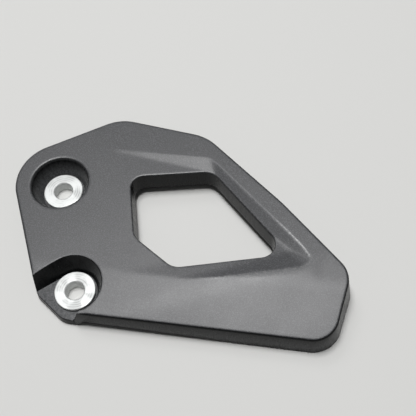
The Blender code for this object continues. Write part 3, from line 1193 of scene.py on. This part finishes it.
@dataclass
class RibGrid:
    """The crossing ribs that stiffen the open back, as slabs grown from their clipped foot lines.

    Sizes are millimetres. The insets are how far the ribs' feet are above the skirt's rim. A rib's ends
    run `bite` into the walls and its top as far into the skin. The lines are counted in pitches from the
    lower bush's axis. Nearer the window's skirt than `by_window`, a rib's foot keeps `over_window` above
    that skirt's rim.
    """

    plate: GuardPlate
    pitch: float = 10.5
    thickness: float = 1.6
    lengthwise_inset: float = 0.4
    crosswise_inset: float = 0.8
    bite: float = 0.35
    shortest: float = 1.5
    first_line: int = -3
    last_line: int = 9
    foot_step: float = 2.0
    fewest_points: int = 3
    by_window: float = 0.8
    over_window: float = 0.05

    def cavity(self, walls: Walls, lift: Height) -> list[np.ndarray]:
        """Return the plan loops that bound the open back at a height.

        Args:
            walls: The moulding's wall lines.
            lift: Gives the height over plan points.

        Returns:
            The loop of its outside, and then those of its holes.
        """
        plate = self.plate
        outside = join([walls.inner, walls.pad.part(1, len(walls.pad) - 2)])
        window, cup = plate.window.columns(plate.face, plate.wall), plate.upper_recess(plate.wall)
        return [columns.at(columns.meet(lift)) for columns in (outside, window, cup)]

    def crossings(self, loops: Sequence[np.ndarray], run: Run, place: float) -> list[float]:
        """Return where a rib's line meets loops.

        Args:
            loops: The plan loops.
            run: The way that the line runs.
            place: Its place across that.

        Returns:
            The places along the line, in order.
        """
        along, across = run.value, 1 - run.value
        found: list[float] = []
        for loop in loops:
            start, stop = loop, np.roll(loop, -1, axis=0)
            side, other = start[:, across] - place, stop[:, across] - place
            for i in np.nonzero((side > 0.0) != (other > 0.0))[0]:
                share = side[i] / (side[i] - other[i])
                found.append(float(start[i, along] + share * (stop[i, along] - start[i, along])))
        return sorted(found)

    def lines(self) -> FootLines:
        """Find where each rib runs between two walls.

        Returns:
            The foot lines of all the ribs.
        """
        made, walls = FootLines(), self.plate.walls()
        floor, ceiling = self.cavity(walls, self.plate.skirt), self.cavity(walls, self.plate.under_skin)
        for run in Run:
            for place in (step * self.pitch for step in range(self.first_line, self.last_line + 1)):
                low, high = self.crossings(floor, run, place), self.crossings(ceiling, run, place)
                for start, stop in zip(low[::2], low[1::2]):
                    tops = [(a, b) for a, b in zip(high[::2], high[1::2]) if a < stop and b > start]
                    if tops and stop - start >= self.shortest:
                        shared = [min(b, stop) - max(a, start) for a, b in tops]
                        made.add(*self.rib(run, place, (start, stop), tops[int(np.argmax(shared))]))
        return made

    def rib(self, run: Run, place: float, foot: Span, top: Span) -> tuple[np.ndarray, np.ndarray]:
        """Return one rib between two walls.

        Args:
            run: The way that it runs.
            place: Its place across that.
            foot: Where it starts and stops at its foot.
            top: Where it starts and stops at its top.

        Returns:
            The points along its foot, and those over them along its top.
        """
        count = max(self.fewest_points, math.ceil((foot[1] - foot[0]) / self.foot_step))
        share = np.linspace(0.0, 1.0, count)
        inset = self.lengthwise_inset if run is Run.LENGTHWISE else self.crosswise_inset
        low, high = np.full((count, 2), place), np.full((count, 2), place)
        for plan, (start, stop) in ((low, foot), (high, top)):
            plan[:, run.value] = start - self.bite + (stop - start + 2.0 * self.bite) * share
        foot_height = np.maximum(self.plate.skirt(low) + inset, self.least_height(low))
        top_height = self.plate.under_skin(high) + self.bite
        return np.column_stack([low, foot_height]), np.column_stack([high, top_height])

    def least_height(self, plan: np.ndarray) -> np.ndarray:
        """Return the height that a rib's foot keeps, so that none hangs under the window's rim.

        Args:
            plan: Plan points of the foot.

        Returns:
            One height for each.
        """
        plate = self.plate
        loop = plate.window.columns(plate.face, plate.wall).at(plate.window_skirt)
        gap = np.min(np.linalg.norm(plan[:, None] - loop[None], axis=2), axis=1)
        return np.where(gap < self.by_window, plate.window_skirt + self.over_window, 0.0)

    def tree(self) -> Tree:
        """Set up the growth of slabs from foot lines whose points each carry a `rise`.

        Returns:
            The Geometry Nodes tree.
        """
        tree = bpy.data.node_groups.new("rib_slabs", "GeometryNodeTree")
        for name, way, kind in (
            ("Foot Lines", "INPUT", "NodeSocketGeometry"),
            ("Thickness", "INPUT", "NodeSocketFloat"),
            ("Moulding", "INPUT", "NodeSocketMaterial"),
            ("Ribs", "OUTPUT", "NodeSocketGeometry"),
        ):
            tree.interface.new_socket(name, in_out=way, socket_type=kind)
        given = add_node(tree, "NodeGroupInput").outputs
        rise = add_node(
            tree, "GeometryNodeInputNamedAttribute", {"data_type": "FLOAT_VECTOR"}, {"Name": "rise"}
        )
        wall_inputs = {"Mesh": given["Foot Lines"], "Offset": rise.outputs["Attribute"], "Offset Scale": 1.0}
        walls = add_node(tree, "GeometryNodeExtrudeMesh", {"mode": "EDGES"}, wall_inputs)
        normal = add_node(tree, "GeometryNodeInputNormal")
        half = add_node(tree, "ShaderNodeMath", {"operation": "MULTIPLY"}, {0: given["Thickness"], 1: -0.5})
        back_inputs = {0: normal.outputs[0], "Scale": half.outputs[0]}
        back = add_node(tree, "ShaderNodeVectorMath", {"operation": "SCALE"}, back_inputs)
        centred_inputs = {"Geometry": walls.outputs["Mesh"], "Offset": back.outputs[0]}
        centred = add_node(tree, "GeometryNodeSetPosition", {}, centred_inputs)
        thick_inputs = {"Mesh": centred.outputs[0], "Offset Scale": given["Thickness"], "Individual": False}
        thick = add_node(tree, "GeometryNodeExtrudeMesh", {"mode": "FACES"}, thick_inputs)
        flipped = add_node(tree, "GeometryNodeFlipFaces", {}, {"Mesh": centred.outputs[0]})
        joined = add_node(tree, "GeometryNodeJoinGeometry")
        tree.links.new(thick.outputs["Mesh"], joined.inputs[0])
        tree.links.new(flipped.outputs[0], joined.inputs[0])
        merged_inputs = {"Geometry": joined.outputs[0], "Distance": SAME_POINT}
        merged = add_node(tree, "GeometryNodeMergeByDistance", {}, merged_inputs)
        real = add_node(tree, "GeometryNodeRealizeInstances", {}, {"Geometry": merged.outputs[0]})
        painted_inputs = {"Geometry": real.outputs[0], "Material": given["Moulding"]}
        painted = add_node(tree, "GeometryNodeSetMaterial", {}, painted_inputs)
        add_node(tree, "NodeGroupOutput", {}, {"Ribs": painted.outputs[0]})
        return tree

    def build(self, place: Frame, finish: bpy.types.Material) -> bpy.types.Mesh:
        """Return the ribs as one mesh in the row frame.

        Args:
            place: Where the sketch lies in the row frame.
            finish: The material of the moulding.

        Returns:
            The mesh.
        """
        found = self.lines()
        lines = bpy.data.meshes.new("rib_lines")
        lines.from_pydata([tuple(point) for point in place.place(np.vstack(found.feet))], found.edges, [])
        rise = lines.attributes.new("rise", "FLOAT_VECTOR", "POINT")
        rise.data.foreach_set("vector", (np.vstack(found.rises) / MM_PER_M).ravel())
        carrier = put_in_scene(bpy.data.objects.new("rib_lines", lines))
        modifier = carrier.modifiers.new("rib_slabs", "NODES")
        modifier.node_group = self.tree()
        set_input(modifier, "Thickness", self.thickness / MM_PER_M)
        set_input(modifier, "Moulding", finish)
        made = bpy.data.meshes.new_from_object(carrier.evaluated_get(bpy.context.evaluated_depsgraph_get()))
        bpy.data.objects.remove(carrier)
        bpy.data.meshes.remove(lines)
        return made


@dataclass
class TurnedBush:
    """A flanged aluminium sleeve that the moulding is screwed down through.

    Sizes are millimetres, and bore, sleeve and flange are radii. `mouth` is how far the bore's edge is
    broken, and `ease` how softly. The flange and the bore have further rings, which keep their shading
    flat: at the radius `flange_ring`, at `mouth_rings` from the broken edge, and at the height
    `bore_ring`.
    """

    bore: float = 3.2
    sleeve: float = 5.0
    flange: float = 7.0
    flange_thickness: float = 1.0
    height: float = 4.5
    chamfer: float = 0.3
    mouth: float = 0.30
    ease: float = 0.04
    edge_round: float = 0.25
    flange_ring: float = 5.4
    mouth_rings: Span = (0.22, 0.05)
    bore_ring: float = 2.0
    steps: int = 128
    lip_turn: float = 15.0

    def profile(self) -> list[Span]:
        """Draw the bush's section.

        Returns:
            The radius and height of each of its points, anticlockwise from the bore's foot.
        """
        top, under, rounded = self.height, self.height - self.flange_thickness, self.edge_round
        turns = [unit(k * self.lip_turn) for k in range(int(90.0 / self.lip_turn) + 1)]
        broken = self.bore + self.mouth
        return [
            (self.bore + self.chamfer, 0.0),
            (self.sleeve - self.chamfer, 0.0),
            (self.sleeve, self.chamfer),
            (self.sleeve, under),
            (self.flange - rounded / 2.0, under),
            (self.flange, under + rounded / 2.0),
            *((self.flange - rounded * (1.0 - way[0]), top - rounded * (1.0 - way[1])) for way in turns),
            (self.flange_ring, top),
            *((broken + away, top) for away in self.mouth_rings),
            (broken, top - self.ease),
            (self.bore + self.ease, top - self.mouth),
            (self.bore, top - self.mouth - 2.0 * self.ease),
            (self.bore, self.bore_ring),
            (self.bore, self.chamfer),
        ]

    def build(self, middle: Span) -> Shell:
        """Return the bush turned about an upright axis.

        Args:
            middle: Where the axis stands in the sketch.

        Returns:
            The bush, as a closed shell.
        """
        shell, rings = Shell(), []
        turns = np.array([unit(360.0 * k / self.steps) for k in range(self.steps)])
        for radius, height in self.profile():
            rings.append(np.column_stack([turns * radius + np.array(middle), np.full(self.steps, height)]))
        shell.strip([*rings, rings[0]], True)
        return shell


def noise(tree: Tree, where: Socket, size_mm: float, detail: float) -> Socket:
    """Return a noise whose grains are of a real size."""
    inputs = {"Vector": where, "Scale": MM_PER_M / size_mm, "Detail": detail}
    return add_node(tree, "ShaderNodeTexNoise", {}, inputs).outputs["Fac"]


def ramp(tree: Tree, value: Socket, source: Span, target: Span = (0.0, 1.0)) -> Socket:
    """Return a value mapped smoothly from one range onto another.

    Args:
        tree: The tree to add to.
        value: The value.
        source: The range that it is taken from.
        target: The range that it is mapped onto.

    Returns:
        The mapped value.
    """
    ranges = {"From Min": source[0], "From Max": source[1], "To Min": target[0], "To Max": target[1]}
    settings = {"interpolation_type": "SMOOTHSTEP"}
    return add_node(tree, "ShaderNodeMapRange", settings, {"Value": value, **ranges}).outputs[0]


def mix(tree: Tree, share: Socket, first: Any, second: Any) -> Socket:
    """Return the mix of two colours."""
    return add_node(tree, "ShaderNodeMix", {"data_type": "RGBA"}, {0: share, 6: first, 7: second}).outputs[2]


def math_of(tree: Tree, operation: str, first: Socket, second: Socket) -> Socket:
    """Return what an operation makes of two values."""
    return add_node(tree, "ShaderNodeMath", {"operation": operation}, {0: first, 1: second}).outputs[0]


def coordinates(tree: Tree, kind: str = "Object") -> Socket:
    """Return one of the texture coordinates."""
    return add_node(tree, "ShaderNodeTexCoord").outputs[kind]


def rub_dust_highlight(tree: Tree) -> Socket:
    """Return the share that each point of the moulding carries."""
    # The share is wear and dust, and on the rims, crests and the band's bend a painted highlight.
    return add_node(tree, "ShaderNodeAttribute", {"attribute_name": "rub_dust_highlight"}).outputs["Fac"]


def principled(name: str) -> tuple[bpy.types.Material, Tree, bpy.types.Node]:
    """Start a material.

    Args:
        name: Its name.

    Returns:
        The material, its tree and its shader.
    """
    made = bpy.data.materials.new(name)
    made.use_nodes = True
    tree = made.node_tree
    tree.nodes.clear()
    shader = add_node(tree, "ShaderNodeBsdfPrincipled")
    add_node(tree, "ShaderNodeOutputMaterial", {}, {"Surface": shader.outputs[0]})
    return made, tree, shader


@dataclass(frozen=True)
class GrainedNylon:
    """Glass-filled nylon 6 moulded against spark-eroded steel: a satin grain that scatters light grey.

    Handling has rubbed the rims and crests smooth, so they catch a thin light line, and has left faint
    lighter patches. These lighter patches are partly a painted highlight on the rims and crests, and wholly
    one on the band's bend. The face's grey, lighter than the walls' black, is partly painted light. The real
    grain is about 0.1 mm, too fine for the render, so it is drawn at 0.36 mm. The roughness is given for
    the two kinds of patch, the scuffs' strength as the range that broken noise has, and the grain's depth
    as a share of its width.
    """

    # Partly painted light: greyer than the walls' copy of the nylon, for the light that the face catches.
    body: str = "#292a2d"
    fleck: str = "#4b4c4f"
    # Scuffed grey, also used as a painted highlight on the rims, crests and the band's bend.
    scuff_and_highlight: str = "#a5a6a6"
    roughness: Span = (0.42, 0.445)
    polished: float = 0.30
    specular: float = 0.66
    grain_mm: float = 0.36
    grain_depth: float = 0.12
    grain_strength: float = 0.5
    patch_mm: float = 14.0
    scuff_mm: float = 0.9
    flecks: Span = (0.42, 0.72)
    patches: Span = (0.30, 0.70)
    scuffs: Span = (0.42, 0.62)
    scuffed: Span = (0.10, 0.50)

    def material(self) -> bpy.types.Material:
        """Set up the finish.

        Returns:
            The material.
        """
        made, tree, shader = principled("glass_filled_nylon_grained")
        where, rub_and_highlight = coordinates(tree), rub_dust_highlight(tree)
        grain = noise(tree, where, self.grain_mm, 2.0)
        body = mix(tree, ramp(tree, grain, self.flecks), linear(self.body), linear(self.fleck))
        # Lighter where rubbed: real scuffs, and a painted highlight on the rims, crests and the band's bend.
        broken = ramp(tree, noise(tree, where, self.scuff_mm, 2.0), self.scuffs, self.scuffed)
        worn_and_highlight = math_of(tree, "MULTIPLY", rub_and_highlight, broken)
        tree.links.new(mix(tree, worn_and_highlight, body, linear(self.scuff_and_highlight)), shader.inputs["Base Color"])
        satin = ramp(tree, noise(tree, where, self.patch_mm, 3.0), self.patches, self.roughness)
        smooth_inputs = {0: rub_and_highlight, 2: satin, 3: self.polished}
        smooth = add_node(tree, "ShaderNodeMix", {"data_type": "FLOAT"}, smooth_inputs)
        tree.links.new(smooth.outputs[0], shader.inputs["Roughness"])
        depth = self.grain_depth * self.grain_mm / MM_PER_M
        bump_inputs = {"Strength": self.grain_strength, "Distance": depth, "Height": grain}
        bump = add_node(tree, "ShaderNodeBump", {}, bump_inputs)
        tree.links.new(bump.outputs[0], shader.inputs["Normal"])
        shader.inputs["Specular IOR Level"].default_value = self.specular
        shader.inputs["IOR"].default_value = NYLON_IOR
        return made


@dataclass(frozen=True)
class PlainNylon:
    """The same nylon on the drafted walls and the open back: off plain ground steel, smoother and blacker.

    The draw out of the tool has left faint upright streaks. Grey dust clings in the upper recess, on the
    lug's floor and thinly on the outer walls. On the rims' lower rings the same grey is a painted highlight,
    and the walls' black, darker than the face's grey, is partly painted shade. The roughness is given for
    the two sides of a streak.
    """

    # Partly painted shade: blacker than the face's grey, for the dark that the walls face.
    body: str = "#0c0d0e"
    streak: str = "#161718"
    # Real dust grey, which on the rims' lower rings is a painted highlight.
    dust: str = "#747577"
    roughness: Span = (0.24, 0.34)
    specular: float = 0.15
    streak_mm: float = 1.1
    streak_stretch: float = 0.12
    dust_mm: float = 0.5
    streaks: Span = (0.45, 0.75)
    sheens: Span = (0.3, 0.7)
    ledges: Span = (0.8, 0.95)
    specks: Span = (0.25, 0.75)
    dusted: Span = (0.30, 0.75)

    def material(self) -> bpy.types.Material:
        """Set up the finish.

        Returns:
            The material.
        """
        made, tree, shader = principled("glass_filled_nylon_plain")
        where = coordinates(tree)
        drawn_inputs = {"Vector": where, "Scale": (1.0, 1.0, self.streak_stretch)}
        drawn = add_node(tree, "ShaderNodeMapping", {}, drawn_inputs).outputs[0]
        streaks = noise(tree, drawn, self.streak_mm, 3.0)
        body = mix(tree, ramp(tree, streaks, self.streaks), linear(self.body), linear(self.streak))
        up = add_node(tree, "ShaderNodeSeparateXYZ", {}, {"Vector": coordinates(tree, "Normal")}).outputs["Z"]
        low = math_of(tree, "MAXIMUM", rub_dust_highlight(tree), ramp(tree, up, self.ledges))
        clings = ramp(tree, noise(tree, where, self.dust_mm, 3.0), self.specks, self.dusted)
        # Real dust, and on the rims' lower rings a painted highlight.
        dust_and_highlight = math_of(tree, "MULTIPLY", low, clings)
        tree.links.new(mix(tree, dust_and_highlight, body, linear(self.dust)), shader.inputs["Base Color"])
        tree.links.new(ramp(tree, streaks, self.sheens, self.roughness), shader.inputs["Roughness"])
        shader.inputs["Specular IOR Level"].default_value = self.specular
        shader.inputs["IOR"].default_value = NYLON_IOR
        return made


@dataclass(frozen=True)
class TurnedAluminium:
    """Aluminium 6082 bar, turned and left bare: a pale satin grey with rings from the tool's feed.

    The rings show only in places. The real feed is about 0.1 mm, so they are drawn at 0.8 mm. The
    roughness is given for where they don't show and where they do.
    """

    body: str = "#d0d2d1"
    ring: str = "#aeafaf"
    roughness: Span = (0.52, 0.68)
    metallic: float = 0.55
    feed_mm: float = 0.80
    feed_wander: float = 1.0
    glint_mm: float = 3.5
    glints: Span = (0.36, 0.70)
    marks: Span = (0.6, 1.0)

    def material(self, axis: Sequence[float]) -> bpy.types.Material:
        """Return the material of a bush.

        Args:
            axis: Where the bush's axis stands in the row frame.

        Returns:
            The material.
        """
        made, tree, shader = principled("bare_aluminium_turned")
        where = coordinates(tree)
        centred_inputs = {"Vector": where, "Location": (axis[0], axis[1], 0.0)}
        centred = add_node(tree, "ShaderNodeMapping", {"vector_type": "TEXTURE"}, centred_inputs).outputs[0]
        scale = 2.0 * math.pi / WAVE_PHASE * MM_PER_M / self.feed_mm
        rings = add_node(
            tree,
            "ShaderNodeTexWave",
            {"wave_type": "RINGS", "rings_direction": "Z", "wave_profile": "SIN"},
            {"Vector": centred, "Scale": scale, "Distortion": self.feed_wander, "Detail": 2.0},
        ).outputs["Fac"]
        shows = ramp(tree, noise(tree, where, self.glint_mm, 2.0), self.glints)
        seen = math_of(tree, "MULTIPLY", ramp(tree, rings, self.marks), shows)
        tree.links.new(mix(tree, seen, linear(self.body), linear(self.ring)), shader.inputs["Base Color"])
        tree.links.new(ramp(tree, shows, (0.0, 1.0), self.roughness), shader.inputs["Roughness"])
        shader.inputs["Metallic"].default_value = self.metallic
        return made


@dataclass
class HeelGuard:
    """The whole guard: the moulding with its ribs, and the two bushes.

    Edges sharper than `sharp_from` degrees stay sharp. The grained face is where the moulding's normal
    rises more than `face_from` and the surface is `face_above` millimetres over the recess floor. As the
    finish follows which way each polygon faces, the face's grey and the walls' black are partly painted
    light and shade.
    """

    place: Frame
    plate: GuardPlate = field(default_factory=GuardPlate)
    bush: TurnedBush = field(default_factory=TurnedBush)
    face_finish: GrainedNylon = GrainedNylon()
    wall_finish: PlainNylon = PlainNylon()
    bush_finish: TurnedAluminium = TurnedAluminium()
    sharp_from: float = 32.0
    face_from: float = 0.88
    face_above: float = 0.5

    def piece(
        self, name: str, mesh: bpy.types.Mesh, finishes: Sequence[bpy.types.Material]
    ) -> bpy.types.Object:
        """Return a finished piece with smooth shading and sharp corners.

        Args:
            name: The piece's name.
            mesh: Its mesh, in the row frame.
            finishes: Its materials, in the order of the mesh's slots.

        Returns:
            The piece, riding on the guard's one body.
        """
        mesh.materials.clear()
        for finish in finishes:
            mesh.materials.append(finish)
        mesh.shade_smooth()
        mesh.set_sharp_from_angle(angle=math.radians(self.sharp_from))
        made = put_in_scene(bpy.data.objects.new(name, mesh))
        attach(made, "root")
        LOG.info("%s: %d faces", name, len(mesh.polygons))
        return made

    def moulding(self) -> bpy.types.Object:
        """Build the black moulding with its ribs.

        Returns:
            The two, as one piece.
        """
        finishes = {
            MouldingSlot.WALL: self.wall_finish.material(),
            MouldingSlot.FACE: self.face_finish.material(),
        }
        skin = self.place.mesh("guard_moulding", self.plate.build())
        ribs = RibGrid(self.plate).build(self.place, finishes[MouldingSlot.WALL])
        whole = bmesh.new()
        whole.from_mesh(skin)
        whole.from_mesh(ribs)
        whole.to_mesh(skin)
        whole.free()
        bpy.data.meshes.remove(ribs)
        made = self.piece("guard_moulding", skin, [finishes[slot] for slot in MouldingSlot])
        lowest = self.plate.recess_floor + self.face_above
        # Up-facing polygons take the grey face and the rest the black walls: partly painted light and shade.
        for polygon in skin.polygons:
            on_face = polygon.normal.z > self.face_from and polygon.center.z * MM_PER_M >= lowest
            polygon.material_index = (MouldingSlot.FACE if on_face else MouldingSlot.WALL).value
        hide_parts("guard_plate")
        return made

    def bushes(self) -> list[bpy.types.Object]:
        """Build the bushes.

        Returns:
            The lower one and the upper one.
        """
        made = []
        for name, node, middle in (
            ("lower_sleeve", "bush_lower", (0.0, 0.0)),
            ("upper_sleeve", "bush_upper", self.plate.upper),
        ):
            axis = self.place.place(np.array([[*middle, 0.0]]))[0]
            finish = self.bush_finish.material(axis)
            sleeve = self.piece(name, self.place.mesh(name, self.bush.build(middle)), (finish,))
            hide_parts(node)
            made.append(sleeve)
        return made


@dataclass(frozen=True)
class Lamp:
    """A soft lamp that points at the guard: where it hangs and how large it is, in metres, and its watts."""

    name: str
    place: Place
    size: Span
    power: float


@dataclass
class Studio:
    """The pale floor, the soft light and the camera.

    Sizes are metres, but the camera's are sketch millimetres. The floor fades into the backdrop over the
    distances `floor_fades`. The sky sets in, and the backdrop stops, over heights of the view's
    direction, from 0 at the horizon to 1 overhead.
    """

    place: Frame
    floor_colour: str = "#d6d6d4"
    floor_roughness: float = 0.9
    floor_half: float = 2.0
    floor_fades: Span = (0.22, 0.50)
    backdrop: str = "#d6d6d4"
    backdrop_stops: Span = (0.25, 0.45)
    sky: float = 0.12
    sky_sets_in: Span = (0.2, 0.8)
    lamps: tuple[Lamp, ...] = (
        Lamp("softbox", (-0.08, 0.12, 1.2), (0.35, 0.50), 12.9),
        Lamp("fill", (-0.35, 0.55, 1.0), (0.35, 0.35), 1.4),
    )
    eye: Place = (77.36, -98.90, 247.78)
    right: Place = (0.9865, 0.1481, -0.0696)
    up: Place = (-0.0948, 0.8636, 0.4951)
    lens: float = 69.2
    sensor: float = 36.0

    def floor(self) -> bpy.types.Object:
        """Lay the floor, a matt board that fades into the pale backdrop away from the guard.

        Returns:
            The floor.
        """
        half = self.floor_half
        corners = [(-half, -half, 0.0), (half, -half, 0.0), (half, half, 0.0), (-half, half, 0.0)]
        mesh = bpy.data.meshes.new("floor")
        mesh.from_pydata(corners, [], [(0, 1, 2, 3)])
        made, tree, shader = principled("matt_white_board")
        shader.inputs["Base Color"].default_value = linear(self.floor_colour)
        shader.inputs["Roughness"].default_value = self.floor_roughness
        length = add_node(tree, "ShaderNodeVectorMath", {"operation": "LENGTH"}, {0: coordinates(tree)})
        far = self.seen(tree, ramp(tree, length.outputs["Value"], self.floor_fades))
        pale = add_node(tree, "ShaderNodeEmission", {}, {"Color": linear(self.backdrop)})
        faded_inputs = {0: far, 1: shader.outputs[0], 2: pale.outputs[0]}
        faded = add_node(tree, "ShaderNodeMixShader", {}, faded_inputs)
        tree.links.new(faded.outputs[0], tree.nodes["Material Output"].inputs["Surface"])
        mesh.materials.append(made)
        floor = put_in_scene(bpy.data.objects.new("floor", mesh))
        return floor

    @staticmethod
    def seen(tree: Tree, share: Socket) -> Socket:
        """Return a share kept for what the camera sees, also in metal or through glass, and 0 for light.

        Args:
            tree: The tree to add to.
            share: The share.

        Returns:
            The share, or 0.
        """
        path = add_node(tree, "ShaderNodeLightPath").outputs
        rays = path["Is Camera Ray"]
        for other in ("Is Glossy Ray", "Is Transmission Ray"):
            rays = math_of(tree, "MAXIMUM", rays, path[other])
        return math_of(tree, "MULTIPLY", share, rays)

    def hang_lamps(self) -> None:
        """Hang the lamps."""
        for lamp in self.lamps:
            light = bpy.data.lights.new(lamp.name, "AREA")
            light.shape = "RECTANGLE"
            light.size, light.size_y = lamp.size
            light.energy = lamp.power
            hung = put_in_scene(bpy.data.objects.new(lamp.name, light))
            hung.location = lamp.place
            hung.rotation_euler = Vector(lamp.place).to_track_quat("Z", "Y").to_euler()

    def surround(self) -> None:
        """Light the room dimly from above, with the pale backdrop low down."""
        world = bpy.data.worlds.new("studio")
        world.use_nodes = True
        tree = world.node_tree
        rays = coordinates(tree, "Generated")
        height = add_node(tree, "ShaderNodeSeparateXYZ", {}, {"Vector": rays}).outputs["Z"]
        sky = tree.nodes["Background"]
        sky.inputs["Color"].default_value = (1.0, 1.0, 1.0, 1.0)
        tree.links.new(ramp(tree, height, self.sky_sets_in, (0.0, self.sky)), sky.inputs["Strength"])
        low = self.seen(tree, ramp(tree, height, self.backdrop_stops, (1.0, 0.0)))
        pale = add_node(tree, "ShaderNodeBackground", {}, {"Color": linear(self.backdrop)})
        both = add_node(tree, "ShaderNodeMixShader", {}, {0: low, 1: sky.outputs[0], 2: pale.outputs[0]})
        tree.links.new(both.outputs[0], tree.nodes["World Output"].inputs["Surface"])
        bpy.context.scene.world = world

    def camera(self) -> bpy.types.Object:
        """Set up the camera where the photograph was taken from.

        Returns:
            The camera.
        """
        lens = bpy.data.cameras.new("camera")
        lens.lens = self.lens
        lens.sensor_width = self.sensor
        made = put_in_scene(bpy.data.objects.new("camera", lens))
        right = Vector(self.right).normalized()
        up = (Vector(self.up) - Vector(self.up).project(right)).normalized()
        turned = Matrix((right, up, right.cross(up))).transposed().to_4x4()
        eye = self.place.place(np.array([self.eye]))[0]
        made.matrix_world = Matrix.Translation(Vector(eye)) @ turned
        bpy.context.scene.camera = made
        return made


def main() -> None:
    """Build the guard and its studio."""
    logging.basicConfig(level=logging.INFO)
    place = Frame.from_cad()
    guard = HeelGuard(place)
    guard.moulding()
    guard.bushes()
    studio = Studio(place)
    studio.floor()
    studio.hang_lamps()
    studio.surround()
    studio.camera()
    bpy.context.scene.view_settings.view_transform = "Standard"


if __name__ == "__main__":
    main()
